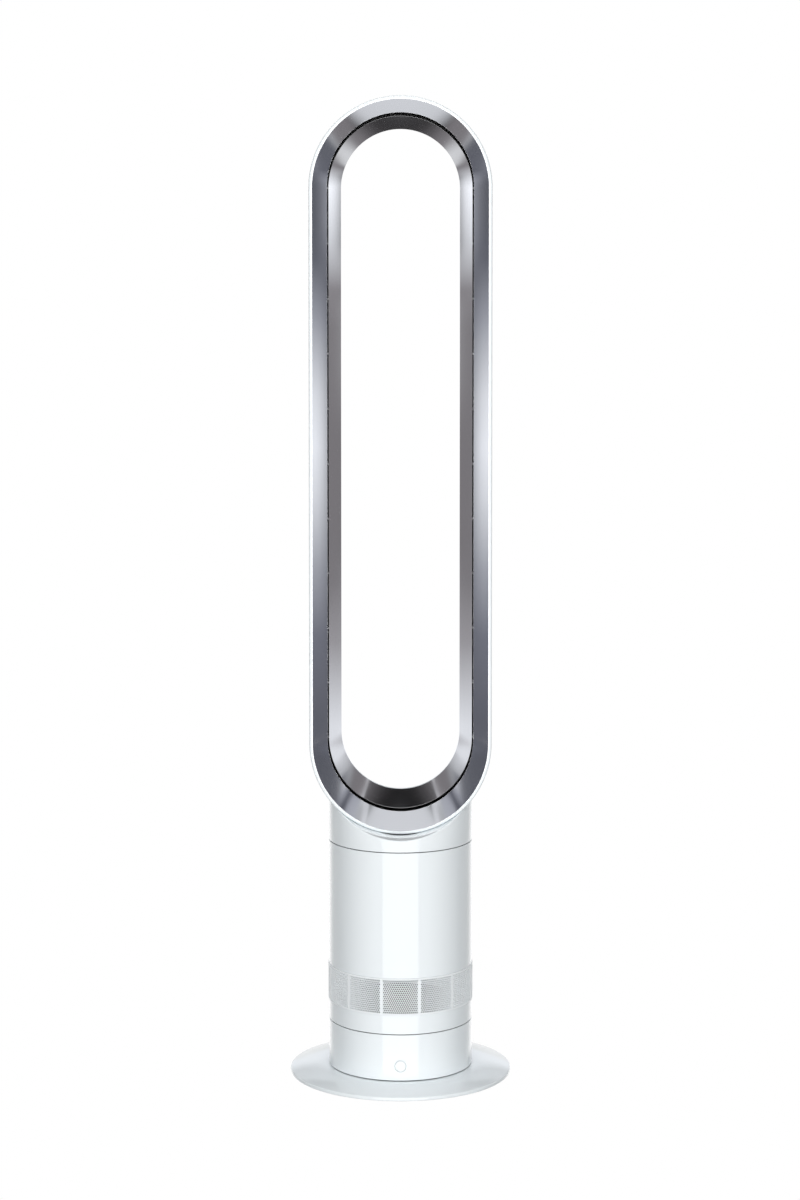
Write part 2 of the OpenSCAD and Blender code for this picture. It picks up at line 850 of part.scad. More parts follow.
module inlet_grille() {
    color("gainsboro") difference() {
        ring(grille_in_r, grille_r, sleeve_low, sleeve_top - sleeve_low);
        for (panel = [0:panel_count - 1], row = [0:hole_rows - 1], long = [(row + 1) % 2])
            for (k = [0:hole_cols - 2 + long])
                rotate([0, 0, panel_angle*panel - 90 + col_angle*(k - (hole_cols - 2 + long)/2)])
                    translate([grille_in_r - cut, 0, grille_z + row_pitch*(row + edge_share)])
                        rotate([0, 90, 0]) cylinder(r = hole_r, h = grille_t + 2*cut);
    }
}

module lower_silencer() {
    color("dimgray") ring(hub_r + hub_t + fit, swivel_place - head_r - fit, plate_top, foam_low_h);
}

module isolation_ring() {
    color("black") difference() {
        ring(seat_in_r, nest_r, seat_z, isolation_t);
        around(post_angles, housing_place) translate([0, 0, flange_z])
            screw_hole(isolation_t + cut, fit);
    }
}

module impeller_housing() {
    eye = [bell_r, blade_z];
    color("lightgray") difference() {
        rotate_extrude() polygon(concat(
            ellipse_points(eye, bell_w, blade_z - flange_z, 270, 180, bell_steps),
            [[exit_wall_r, blade_top], [exit_wall_r, housing_top],
             [nest_r - flange_inset, housing_top], [nest_r - flange_inset, housing_top - flange_t],
             [exit_wall_r + flange_t, housing_top - flange_t]],
            ellipse_points(eye, bell_w - flange_t, blade_z - flange_z - flange_t, 180, 270,
                           bell_steps),
            [[nest_r, flange_z + flange_t], [nest_r, flange_z]]));
        around(post_angles, housing_place) translate([0, 0, flange_z + flange_t])
            screw_hole(flange_t + cut);
        around(post_angles, duct_out_r + head_r + fit) translate([0, 0, housing_top])
            screw_hole(flange_t + cut);
    }
}

// One diffuser vane: leaning into the swirl below, upright above
module vane() {
    rotate([90, 0, 90]) translate([0, 0, bucket_r - duct_t/2])
        linear_extrude(exit_wall_r - bucket_r + duct_t)
            intersection() {
                translate([-vane_arc_r, vane_h]) difference() {
                    circle(r = vane_arc_r + vane_t/2);
                    circle(r = vane_arc_r - vane_t/2);
                }
                translate([-vane_arc_r, 0]) square([vane_arc_r + vane_t, vane_h]);
            }
}

module diffuser_housing() {
    color("lightgray") difference() {
        union() {
            ring(exit_wall_r, duct_out_r, housing_top, diffuser_top - housing_top);
            ring(exit_wall_r, nest_r - flange_inset, housing_top, flange_t);
            ring(bucket_in_r, bucket_r, bucket_z, bucket_h);
            ring(shaft_hole_r, bucket_in_r + duct_t/2, bucket_z, duct_t);
            ring(bearing_r + seat_fit, bearing_r + boss_t, bucket_floor - duct_t/2,
                 bearing_h + duct_t/2);
            ring(stator_r - stator_lap, bucket_in_r + duct_t/2, bucket_floor - duct_t/2,
                 stator_seat_h + duct_t/2);
            for (a = spread(vane_count)) rotate([0, 0, a])
                translate([0, 0, bucket_floor + vane_rise]) vane();
        }
        around(post_angles, duct_out_r + head_r + fit)
            translate([0, 0, housing_top + flange_t]) screw_hole(flange_t + cut);
    }
}

module housing_screws() {
    color("silver") {
        around(post_angles, housing_place) translate([0, 0, flange_z + flange_t])
            screw(flange_t + isolation_t + ledge_t/2);
        around(post_angles, duct_out_r + head_r + fit)
            translate([0, 0, housing_top + flange_t]) screw(plate_screw_l);
    }
}

module bearing_plate() {
    color("lightgray") {
        ring(shaft_hole_r, bucket_r, bucket_top, plate2_t);
        ring(bearing_r + seat_fit, bearing_r + boss_t, bucket_top, plate2_t + bearing_h);
        around(spread(4), board_post_place) translate([0, 0, bucket_top])
            cylinder(r = board_post_r, h = plate2_t + board_post_h);
    }
}

module motor_cover() {
    shoulder = [0, plate2_top + cover_wall_h];
    color("lightgray") rotate_extrude() polygon(concat(
        [[bucket_in_r, plate2_top], [bucket_r, plate2_top]],
        ellipse_points(shoulder, bucket_r, dome_h, 0, 90, dome_steps),
        ellipse_points(shoulder, bucket_in_r, dome_h - duct_t, 90, 0, dome_steps)));
}

module motor_stator() {
    bore = rotor_r + pole_gap;
    color("slategray") {
        ring(stator_r - yoke_t, stator_r, stator_z, stator_h);
        for (a = spread(pole_count)) rotate([0, 0, a]) {
            translate([bore + pole_tip_t/2, -pole_w/2, stator_z])
                cube([stator_r - yoke_t/2 - bore - pole_tip_t/2, pole_w, stator_h]);
            rotate([0, 0, -90/pole_count]) translate([0, 0, stator_z])
                rotate_extrude(angle = 180/pole_count)
                    translate([bore, 0]) square([pole_tip_t, stator_h]);
        }
    }
}

module stator_windings() {
    x0 = rotor_r + pole_gap + pole_tip_t + coil_gap;
    x1 = stator_r - yoke_t - coil_gap;
    color("peru") for (a = spread(pole_count)) rotate([0, 0, a]) difference() {
        translate([x0, -pole_w/2 - coil_t, stator_z - coil_over])
            cube([x1 - x0, pole_w + 2*coil_t, stator_h + 2*coil_over]);
        translate([x0 - cut, -pole_w/2 - seat_fit, stator_z - seat_fit])
            cube([x1 - x0 + 2*cut, pole_w + 2*seat_fit, stator_h + 2*seat_fit]);
    }
}

module driver_board() {
    color("darkgreen") ring(board_in_r, board_out_r, plate2_top + board_post_h, board_t);
}

module shaft_bearings() {
    color("silver") for (z = [bucket_floor, plate2_top])
        ring(shaft_r + run_fit, bearing_r, z, bearing_h);
}

module upper_silencer() {
    color("dimgray") ring(duct_out_r + fit, nest_r, housing_top + flange_t + head_h + fit,
                          diffuser_top - housing_top - flange_t - head_h - fit);
}

module neck_seal() {
    color("black") ring(exit_wall_r - seal_lap, duct_out_r + seal_lap, diffuser_top, seal_t);
}

module neck_duct() {
    foot = duct_z + duct_foot_h;
    color("lightgray") difference() {
        rotate_extrude() polygon([
            [exit_wall_r, duct_z], [duct_out_r + seal_lap, duct_z],
            [duct_out_r + seal_lap, foot + duct_t/2], [mouth_r + duct_t, foot + cone_h + duct_t/2],
            [mouth_r + duct_t, arc_low_z], [mouth_r, arc_low_z],
            [mouth_r, foot + cone_h], [exit_wall_r, foot]]);
        loop_cylinder(loop_r + gasket_t);
    }
}

module neck_collar() {
    color("white") difference() {
        union() {
            translate([0, 0, collar_z]) cylinder(r = body_r, h = arc_low_z - collar_z);
            ring(ledge_r, nest_r, spigot_z, spigot_h + collar_floor_t);
        }
        loop_cylinder(roof_r);
        difference() {
            translate([0, 0, collar_z + collar_floor_t])
                cylinder(r = inner_r, h = arc_low_z - collar_z);
            loop_cylinder(cavity_r);
        }
        translate([0, 0, spigot_z - cut])
            cylinder(r = ledge_r, h = spigot_h + collar_floor_t + 2*cut);
        translate([0, 0, collar_z]) cylinder(r = mouth_r + duct_t + fit, h = arc_low_z - collar_z);
        at_loop_screws(roof_r - cut) screw_hole(wall + 2*cut, fit);
    }
}

module loop_gasket() {
    color("black") intersection() {
        ring(mouth_r, mouth_r + duct_t, loop_z - cone_h, arc_low_z - loop_z + cone_h);
        difference() {
            loop_cylinder(loop_r + gasket_t);
            loop_cylinder(loop_r);
        }
    }
}

module loop_shell_section() {
    polygon(concat(
        [[loop_r - rim_w, rim_back], [loop_r - rim_w, loop_front]],
        ellipse_points([loop_r - loop_round, loop_front - loop_round], loop_round, loop_round,
                       90, 0, 4),
        nose_points(0),
        reversed(nose_points(loop_wall)),
        [[loop_r - loop_wall, rim_back]]));
}

module loop_shell() {
    color("white") difference() {
        union() {
            loop_sweep() loop_shell_section();
            at_loop_screws(loop_r - loop_wall/2) cylinder(r = boss_r, h = boss_h + loop_wall/2);
        }
        translate([0, 0, loop_z - cut]) cylinder(r = mouth_r, h = loop_r - throat_r);
        at_loop_screws(loop_r - loop_wall - boss_h + head_h) screw_hole(loop_wall + boss_h);
    }
}

// Section of the front band: face, rolled edge at the slit, back, shoulder under the rim
module front_band_section() {
    run = [band_r - bead_c, band_front - slit_front];
    lean = atan2(run[0], run[1]) + asin(bead_r/norm(run));
    polygon(concat(
        [[band_r, rim_back], [band_r, band_front]],
        ellipse_points([bead_c, slit_front], bead_r, bead_r, 180 - lean, 360 - lean, 10),
        [[loop_r - loop_wall - trim_gap, rim_back - rim_t],
         [loop_r - loop_wall - trim_gap, rim_back]]));
}

module front_band() {
    color("silver") loop_sweep() front_band_section();
}

module rear_band() {
    color("silver") loop_sweep() polygon([
        [throat_r, -throat_back], [slit_r, slit_front], [slit_r + lip_t, slit_front],
        [throat_r + band_t, -throat_back]]);
}

// Fin on the rear band's back that holds the front band's edge off it
module slit_spacers() {
    count = floor((arc_high_z - arc_low_z)/spacer_pitch);
    pitch = (arc_high_z - arc_low_z)/count;
    front = slit_front - bead_r - trim_gap;
    color("gainsboro") for (side = [0, 180], i = [0:count]) rotate([0, 0, side])
        translate([0, 0, arc_low_z + pitch*i - spacer_t/2]) linear_extrude(spacer_t)
            mirror([0, side == 0 ? 1 : 0]) polygon([
                [rear_band_r(-spacer_back), -spacer_back],
                [rear_band_r(0), 0],
                [bead_c, front],
                [bead_c + spacer_rise, -spacer_rise],
                [bead_c, -spacer_back]]);
}

module loop_screws() {
    color("silver") at_loop_screws(cavity_r + seat_fit) rotate([180, 0, 0])
        screw(wall + loop_wall + boss_h - head_h);
}

// Plan of one curved blade, clipped between the hub and the tips
module blade_plan() {
    centre = [nose_r - blade_arc_r*sin(blade_lean), blade_arc_r*cos(blade_lean)];
    intersection() {
        translate(centre) difference() {
            circle(r = blade_arc_r + blade_t/2);
            circle(r = blade_arc_r - blade_t/2);
        }
        difference() {
            circle(r = exit_wall_r);
            circle(r = nose_r - blade_lap);
        }
        rotate([0, 0, atan2(centre[1], centre[0]) - 90]) translate([0, -base_r])
            square([base_r, 2*base_r]);
    }
}

module impeller() {
    bore = shaft_r + seat_fit;
    color("gray") {
        rotate_extrude() polygon([
            [bore, impeller_z], [nose_r, impeller_z], [hub_out_r, blade_top],
            [hub_out_r, impeller_top], [hub_out_r - hub_wall, impeller_top],
            [nose_r, impeller_z + hub_wall + nose_drop], [nose_r, impeller_top],
            [bore, impeller_top]]);
        intersection() {
            translate([0, 0, blade_z]) linear_extrude(blade_h)
                for (a = spread(blade_count)) rotate([0, 0, a]) blade_plan();
            rotate_extrude() polygon([
                [nose_r - blade_lap, impeller_z], [eye_r, impeller_z], [eye_r, blade_z],
                [exit_r, blade_top], [hub_out_r - blade_lap, blade_top]]);
        }
    }
}

module motor_rotor() {
    low = impeller_z - nut_h - cut;
    color("slategray") {
        translate([0, 0, low]) cylinder(r = shaft_r, h = plate2_top + bearing_h + cut - low);
        translate([0, 0, stator_z]) cylinder(r = rotor_r, h = stator_h);
    }
}

module impeller_nut() {
    color("silver") difference() {
        translate([0, 0, impeller_z - nut_h]) cylinder(r = nut_r, h = nut_h, $fn = 6);
        translate([0, 0, impeller_z - nut_h - cut])
            cylinder(r = shaft_r + seat_fit, h = nut_h + 2*cut);
    }
}

foot_pads();
bottom_plate();
bottom_screws();
ballast_plate();
base_disc();
lower_shell();
cord_inlet();
base_chassis();
chassis_screws();
control_board();
tact_switch();
display_module();
remote_receiver();
oscillation_motor();
motor_screws();
lower_race();
bearing_balls();
ball_cage();
retaining_ring();
power_button();
drive_pinion();
swivel_plate();
ring_gear();
upper_race();
swivel_screws();
main_shell();
inlet_grille();
lower_silencer();
isolation_ring();
impeller_housing();
diffuser_housing();
housing_screws();
bearing_plate();
motor_cover();
motor_stator();
stator_windings();
driver_board();
shaft_bearings();
upper_silencer();
neck_seal();
neck_duct();
neck_collar();
loop_gasket();
loop_shell();
front_band();
rear_band();
slit_spacers();
loop_screws();
impeller();
motor_rotor();
impeller_nut();
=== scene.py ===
import json
import math

import bmesh
import bpy
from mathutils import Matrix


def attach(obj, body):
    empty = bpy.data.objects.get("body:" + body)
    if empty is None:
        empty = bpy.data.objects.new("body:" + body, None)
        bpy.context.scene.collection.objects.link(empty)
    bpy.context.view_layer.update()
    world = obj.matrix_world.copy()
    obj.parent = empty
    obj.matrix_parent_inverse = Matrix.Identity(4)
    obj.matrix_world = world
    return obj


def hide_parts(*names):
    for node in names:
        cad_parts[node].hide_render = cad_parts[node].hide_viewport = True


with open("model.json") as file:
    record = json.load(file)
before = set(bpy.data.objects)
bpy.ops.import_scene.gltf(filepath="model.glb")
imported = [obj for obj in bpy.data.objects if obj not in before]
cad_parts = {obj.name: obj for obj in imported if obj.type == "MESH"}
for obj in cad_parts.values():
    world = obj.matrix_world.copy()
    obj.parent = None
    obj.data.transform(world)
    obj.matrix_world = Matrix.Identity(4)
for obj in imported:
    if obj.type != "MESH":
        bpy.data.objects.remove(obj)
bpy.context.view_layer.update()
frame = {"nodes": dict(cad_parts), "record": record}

# Round body and its seams, in millimetres like every size of a piece
MM = 0.001
BODY_R, WALL, EDGE, SEAM = 74.0, 2.4, 0.25, 0.8
INNER_R = BODY_R - WALL
LIP_T, LIP_H = 0.8, 1.4
DISC_TOP, LOWER_TOP, MAIN_TOP = 9.6, 57.0, 243.0
LOWER_Z, MAIN_Z, COLLAR_Z = DISC_TOP + SEAM, LOWER_TOP + SEAM, MAIN_TOP + SEAM

# Base disc
DISC_R, DISC_LOW, DISC_LIP, DISC_RIM, DISC_CROWN, DISC_LAND = 114.0, 1.2, 1.4, 4.0, 4.4, 1.0
DISC_SEAT, HOLLOW_R, HOLLOW_Z = 7.4, 100.0, 3.4
FOOT_W, BEVEL_W, BEVEL_H, CROWN_START = 2.0, 6.0, 0.6, 80

# Loop: a stadium with a flat rim in front and a rounded nose at the back
LOOP_R, LOOP_LOW, LOOP_TOP = 92.8, 256.0, 1007.0
ARC_LOW, ARC_HIGH = LOOP_LOW + LOOP_R, LOOP_TOP - LOOP_R
LOOP_FRONT, LOOP_WALL, LOOP_ROUND = 44.0, 2.2, 1.9
RIM_W, RIM_T, RIM_EDGE = 3.1, 1.6, 0.3
NOSE_DEPTH, NOSE_POWER, NOSE_STEPS = 22.0, 2.4, 28

# Silver bands, the slit between them and a dark sheet in the channel behind it that paints the
# shade there
TRIM_GAP, TRIM_SINK, TRIM_SLOPE = 0.2, 0.4, 0.1
THROAT_R, THROAT_BACK, THROAT_LIP, BAND_T = 61.7, 38.0, 0.02, 1.8
SLIT_R, SLIT_FRONT, SLIT_SIDE, SLIT_APEX, BEAD_R = 73.6, 3.8, 1.0, 2.2, 1.5
# Sizes of the dark sheet that paints the shade inside the channel
SHADE_SHEET_GAP, SHADE_SHEET_T, SHADE_SHEET_DEPTH, SHADE_SHEET_BEVEL, SHADE_SHEET_TURN = 0.3, 0.3, 14.0, 6.0, (3.0, 8.0)

# Collar's saddle under the loop
MOUTH_R, ROOF_GAP, ROOF_INSET, ROOF_EDGE = 47.0, 0.2, 2.0, 1.6
ROOF_R = LOOP_R + ROOF_GAP

# Inlet grille, its seat and the ribs behind its separators
GRILLE_R, GRILLE_T, GRILLE_LOW, GRILLE_TOP, GRILLE_EDGE = 74.6, 1.6, 77.5, 114.9, 0.3
PANELS, ROWS, COLS, HOLE_R, PITCH, HOLES_Z = 12, 17, 18, 0.84, 2.03, 78.94
HOLE_SIDES, HOLES_TOP = 12, HOLES_Z + ROWS * PITCH
SEAT_FIT, SEAT_GAP, SEAT_EDGE, WINDOW_GAP, RIB_HALF = 0.05, 0.1, 0.2, 0.4, 1.2
SEAT_R = GRILLE_R - GRILLE_T - SEAT_FIT

# Button and cord gland
BUTTON_Z, BUTTON_R, BUTTON_GAP, BUTTON_DEPTH = 24.9, 5.6, 0.25, 6.0
BUTTON_EDGE, BUTTON_SHARES = ((0.0, 0.35), (0.1, 0.1), (0.3, 0.0)), (0.66, 0.33, 0.0)
GLAND_CORE_R, GLAND_GAP, GLAND_DROP = 7.0, 0.1, 5.6
GLAND_Z, GLAND_R = DISC_TOP + GLAND_CORE_R, GLAND_CORE_R + GLAND_GAP

# Steps of the rounded stretches
CORNER_STEPS, BEAD_STEPS, TOP_STEPS, ROOF_STEPS, DISC_STEPS, CROWN_STEPS = 6, 14, 6, 8, 8, 16

# Camera of the photograph: metres and degrees, and the lens and sensor in millimetres
CAM_DISTANCE, CAM_HEIGHT, CAM_PITCH = 2.933, 0.8694, 3.039
CAM_LENS, CAM_SENSOR, CAM_SHIFT, CAM_CLIP = 85.851, 36.0, (-0.0004, -0.18), (0.1, 60.0)


# Node helpers
def node(tree, kind, inputs=None, **settings):
    """A new shader node; an input takes a plain value or another node's output."""
    made = tree.nodes.new("ShaderNode" + kind)
    for key, value in settings.items():
        setattr(made, key, value)
    for slot, value in (inputs or {}).items():
        if isinstance(value, bpy.types.NodeSocket):
            tree.links.new(value, made.inputs[slot])
        else:
            made.inputs[slot].default_value = value
    return made


def calc(tree, operation, *values, clamp=False):
    inputs = dict(enumerate(values))
    return node(tree, "Math", inputs, operation=operation, use_clamp=clamp).outputs[0]


def step(tree, value, low, high):
    """Rises smoothly from 0 at low to 1 at high."""
    limits = {"Value": value, "From Min": low, "From Max": high}
    return node(tree, "MapRange", limits, interpolation_type="SMOOTHSTEP").outputs["Result"]


def ramp(tree, value, stops, low, high):
    """Colours along the value; each stop is (value, grey level or colour)."""
    share = calc(tree, "DIVIDE", calc(tree, "SUBTRACT", value, low), high - low, clamp=True)
    made = node(tree, "ValToRGB", {"Fac": share})
    points = made.color_ramp.elements
    while len(points) < len(stops):
        points.new(0.5)
    for point, (at, shade) in zip(points, sorted(stops)):
        point.position = (at - low) / (high - low)
        colour = shade if isinstance(shade, tuple) else (shade,) * 3
        point.color = (*colour, 1.0)
    return made.outputs["Color"]


def blend(tree, share, under, over):
    """Goes from the colour under to the colour over as the share goes from 0 to 1."""
    if isinstance(over, tuple):
        over = (*over, 1.0)
    under_slot, over_slot, result = 6, 7, 2
    slots = {"Factor": share, under_slot: under, over_slot: over}
    return node(tree, "Mix", slots, data_type="RGBA").outputs[result]


def empty_material(name):
    mat = bpy.data.materials.new(name)
    mat.use_nodes = True
    mat.node_tree.nodes.clear()
    return mat


# Materials: plain values on the sockets, a fine procedural grain in the relief
GRAIN_DEPTH, GRAIN_DETAIL = 0.0001, 3.0
FINISHES = {
    "gloss_white": dict(colour=(0.86, 0.908, 0.933), roughness=0.06, coat=0.5),
    "satin_silver": dict(colour=(0.93, 0.93, 0.94), roughness=0.08, metallic=1.0),
    "grille_white": dict(colour=(0.88, 0.915, 0.935), roughness=0.35),
    "pale_plastic": dict(colour=(0.50, 0.51, 0.52), roughness=0.45, grain=0.15),
    "grey_plastic": dict(colour=(0.16, 0.165, 0.17), roughness=0.45, grain=0.15),
    "black_plastic": dict(colour=(0.02, 0.02, 0.022), roughness=0.4, grain=0.2),
    "rubber": dict(colour=(0.03, 0.03, 0.03), roughness=0.8, grain=0.4),
    "soft_grey": dict(colour=(0.32, 0.325, 0.33), roughness=0.75, grain=0.3),
    "steel": dict(colour=(0.62, 0.62, 0.63), roughness=0.28, metallic=1.0, grain=0.1),
    "zinc_steel": dict(colour=(0.66, 0.66, 0.64), roughness=0.38, metallic=1.0, grain=0.2),
    "laminated_steel": dict(colour=(0.35, 0.35, 0.36), roughness=0.5, metallic=1.0, grain=0.3),
    "copper": dict(colour=(0.80, 0.36, 0.18), roughness=0.3, metallic=1.0, grain=0.3),
    "circuit_board": dict(colour=(0.015, 0.12, 0.05), roughness=0.4, grain=0.2),
    "acetal": dict(colour=(0.75, 0.74, 0.70), roughness=0.35, grain=0.1),
    "foam": dict(colour=(0.05, 0.05, 0.055), roughness=0.95, grain=1.0, scale=400.0),
}


def material(name, colour, roughness, metallic=0.0, coat=0.0, grain=0.0, scale=900.0):
    mat = bpy.data.materials.new(name)
    mat.use_nodes = True
    tree = mat.node_tree
    shader = tree.nodes["Principled BSDF"]
    place = node(tree, "TexCoord")
    noise = node(tree, "TexNoise", {"Vector": place.outputs["Object"], "Scale": scale,
                                    "Detail": GRAIN_DETAIL})
    bump = node(tree, "Bump", {"Height": noise.outputs["Fac"], "Strength": grain,
                               "Distance": GRAIN_DEPTH})
    for slot, value in (("Base Color", (*colour, 1.0)), ("Roughness", roughness),
                        ("Metallic", metallic), ("Coat Weight", coat)):
        shader.inputs[slot].default_value = value
    tree.links.new(bump.outputs["Normal"], shader.inputs["Normal"])
    return mat


FINISH = {name: material(name, **values) for name, values in FINISHES.items()}

# Mesh helpers
SHARP_ANGLE = 32.0
JOIN_GAP = 1e-7


def placed(name, data):
    """A new object of the scene that carries the data."""
    obj = bpy.data.objects.new(name, data)
    bpy.context.collection.objects.link(obj)
    return obj


def piece(name, points, faces, finish, body, *nodes):
    mesh = bpy.data.meshes.new(name)
    mesh.from_pydata([[c * MM for c in p] for p in points], [], faces)
    shape = bmesh.new()
    shape.from_mesh(mesh)
    bmesh.ops.remove_doubles(shape, verts=shape.verts, dist=JOIN_GAP)
    bmesh.ops.delete(shape, geom=[e for e in shape.edges if not e.link_faces], context="EDGES")
    bmesh.ops.recalc_face_normals(shape, faces=shape.faces)
    shape.to_mesh(mesh)
    shape.free()
    mesh.shade_smooth()
    mesh.set_sharp_from_angle(angle=math.radians(SHARP_ANGLE))
    mesh.materials.append(FINISH[finish])
    obj = placed(name, mesh)
    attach(obj, body)
    if nodes:
        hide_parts(*nodes)
    return obj


def ring_point(r, a, z):
    """A point at the radius r and the angle a about Z."""
    return r * math.cos(a), r * math.sin(a), z


def between(a, b, steps):
    """Evenly spaced values from a to b."""
    return [a + (b - a) * i / steps for i in range(steps + 1)]


def arc(cx, cy, r, start, end, steps):
    """Points of a circle's arc between two angles in degrees."""
    return [(cx + r * math.cos(math.radians(a)), cy + r * math.sin(math.radians(a)))
            for a in between(start, end, steps)]


def held(section, long=2.5, by=0.25):
    """Adds points close to both ends of the long sides, so that smooth normals stay true there."""
    out = []
    for i, a in enumerate(section):
        b = section[(i + 1) % len(section)]
        out.append(a)
        if callable(a) or callable(b):
            continue
        size = math.dist(a, b)
        if size > long:
            for t in (by / size, 1 - by / size):
                out.append((a[0] + (b[0] - a[0]) * t, a[1] + (b[1] - a[1]) * t))
    return out


def loft(rings):
    """Joins closed rings of equal length into a closed chain."""
    n, k = len(rings[0]), len(rings)
    points = [p for ring in rings for p in ring]
    faces = [(a * n + i, a * n + (i + 1) % n, b * n + (i + 1) % n, b * n + i)
             for a in range(k) for b in [(a + 1) % k] for i in range(n)]
    return points, faces


def turned(profile, steps=256):
    """Rings about Z; a profile point is (r, z) or a function of the angle giving one."""
    rings = []
    for p in held(profile):
        ring = []
        for i in range(steps):
            a = math.tau * i / steps
            r, z = p(a) if callable(p) else p
            ring.append(ring_point(r, a, z))
        rings.append(ring)
    return loft(rings)


def stadium(section, steps=80):
    """Sweeps a section round the loop; section(apex) gives (radius, y), apex is 1 on the tops."""
    rings = []
    for centre, start in ((ARC_HIGH, 0.0), (ARC_LOW, math.pi)):
        for a in between(start, start + math.pi, steps):
            c, s = math.cos(a), math.sin(a)
            rings.append([(r * c, y, centre + r * s) for r, y in held(section(abs(s)))])
    return loft(rings)


# Loop
def nose(inset):
    """The casing's rounded back, from outside to inside."""
    middle, half, power = (LOOP_R + THROAT_R) / 2, (LOOP_R - THROAT_R) / 2, 2 / NOSE_POWER
    out = []
    for a in between(0.0, math.pi, NOSE_STEPS):
        c, s = math.cos(a), max(math.sin(a), 0.0)
        out.append((middle + (half - inset) * math.copysign(abs(c) ** power, c),
                    THROAT_BACK + (NOSE_DEPTH - inset) * s ** power))
    return out


def casing_section(_):
    """The white casing: rim, rounded front corner, nose and back again along the inside."""
    rim, corner = LOOP_R - RIM_W, LOOP_R - LOOP_ROUND
    return ([(rim, RIM_T - LOOP_FRONT), (rim, RIM_EDGE - LOOP_FRONT), (rim + RIM_EDGE, -LOOP_FRONT)]
            + arc(corner, LOOP_ROUND - LOOP_FRONT, LOOP_ROUND, -90, 0, CORNER_STEPS)
            + nose(0.0) + nose(LOOP_WALL)[::-1]
            + [(LOOP_R - LOOP_WALL, RIM_T - LOOP_FRONT)])


def shade_sheet_section(_):
    """A dark sheet inside the air channel, painted shade so that the slit reads as a black line."""
    outer, inner = LOOP_R - LOOP_WALL - SHADE_SHEET_GAP, THROAT_R + BAND_T + 2 * SHADE_SHEET_GAP
    front, back = 3 * RIM_T - LOOP_FRONT, THROAT_BACK + SHADE_SHEET_DEPTH
    run = [(outer, front), (outer, back - SHADE_SHEET_BEVEL), (outer - SHADE_SHEET_BEVEL, back),
           (inner + SHADE_SHEET_TURN[1], back), (inner + SHADE_SHEET_TURN[0], back - SHADE_SHEET_BEVEL)]
    return run + [(r - SHADE_SHEET_T, y - SHADE_SHEET_T) for r, y in run[::-1]]


def front_section(apex):
    """Outer band: from the rim down to a bead that rounds its edge at the slit."""
    outer, inner = LOOP_R - RIM_W - TRIM_GAP, LOOP_R - LOOP_WALL - TRIM_GAP
    front = TRIM_SINK - LOOP_FRONT
    bead = SLIT_R + SLIT_SIDE + (SLIT_APEX - SLIT_SIDE) * apex + BEAD_R
    run = (outer - bead, -SLIT_FRONT - front)
    lean = math.degrees(math.atan2(*run) + math.asin(BEAD_R / math.hypot(*run)))
    return ([(outer, RIM_T - LOOP_FRONT), (outer, front + EDGE), (outer - EDGE, front + TRIM_SLOPE)]
            + arc(bead, -SLIT_FRONT, BEAD_R, 180 + lean, lean, BEAD_STEPS)
            + [(inner, 2 * RIM_T - LOOP_FRONT), (inner, RIM_T - LOOP_FRONT)])


def rear_section(_):
    """Inner band: a wedge with a fine edge at the slit."""
    return [(THROAT_R, THROAT_BACK), (SLIT_R - THROAT_LIP, THROAT_LIP - SLIT_FRONT),
            (SLIT_R, -SLIT_FRONT), (SLIT_R + THROAT_LIP, THROAT_LIP - SLIT_FRONT),
            (THROAT_R + BAND_T, THROAT_BACK)]


piece("loop_casing", *stadium(casing_section), "gloss_white", "head", "loop_shell")
# Painted shade: a black sheet in the channel behind the slit
piece("channel_shade_sheet", *stadium(shade_sheet_section), "black_plastic", "head")
piece("front_diffuser", *stadium(front_section), "satin_silver", "head", "front_band")
piece("rear_throat", *stadium(rear_section), "satin_silver", "head", "rear_band")


# Collar with its saddle top
def saddle(r, radius=ROOF_R):
    return lambda a: (r, ARC_LOW - math.sqrt(radius ** 2 - (r * math.cos(a)) ** 2))


def rounded_top(t):
    r = BODY_R - ROOF_EDGE * (1 - math.cos(math.radians(t)))
    drop = ROOF_EDGE * (1 - math.sin(math.radians(t)))
    return lambda a: (r, saddle(r)(a)[1] - drop)


piece("neck_cover", *turned(
    [(MOUTH_R, COLLAR_Z), (BODY_R - EDGE, COLLAR_Z), (BODY_R, COLLAR_Z + EDGE)]
    + [rounded_top(t) for t in between(0, 90, TOP_STEPS)]
    + [saddle(r) for r in between(BODY_R - ROOF_INSET, MOUTH_R, ROOF_STEPS)]
    + [saddle(r, ROOF_R + WALL) for r in between(MOUTH_R, INNER_R, ROOF_STEPS)]
    + [(INNER_R, COLLAR_Z + WALL), (MOUTH_R, COLLAR_Z + WALL)]),
    "gloss_white", "head", "neck_collar")


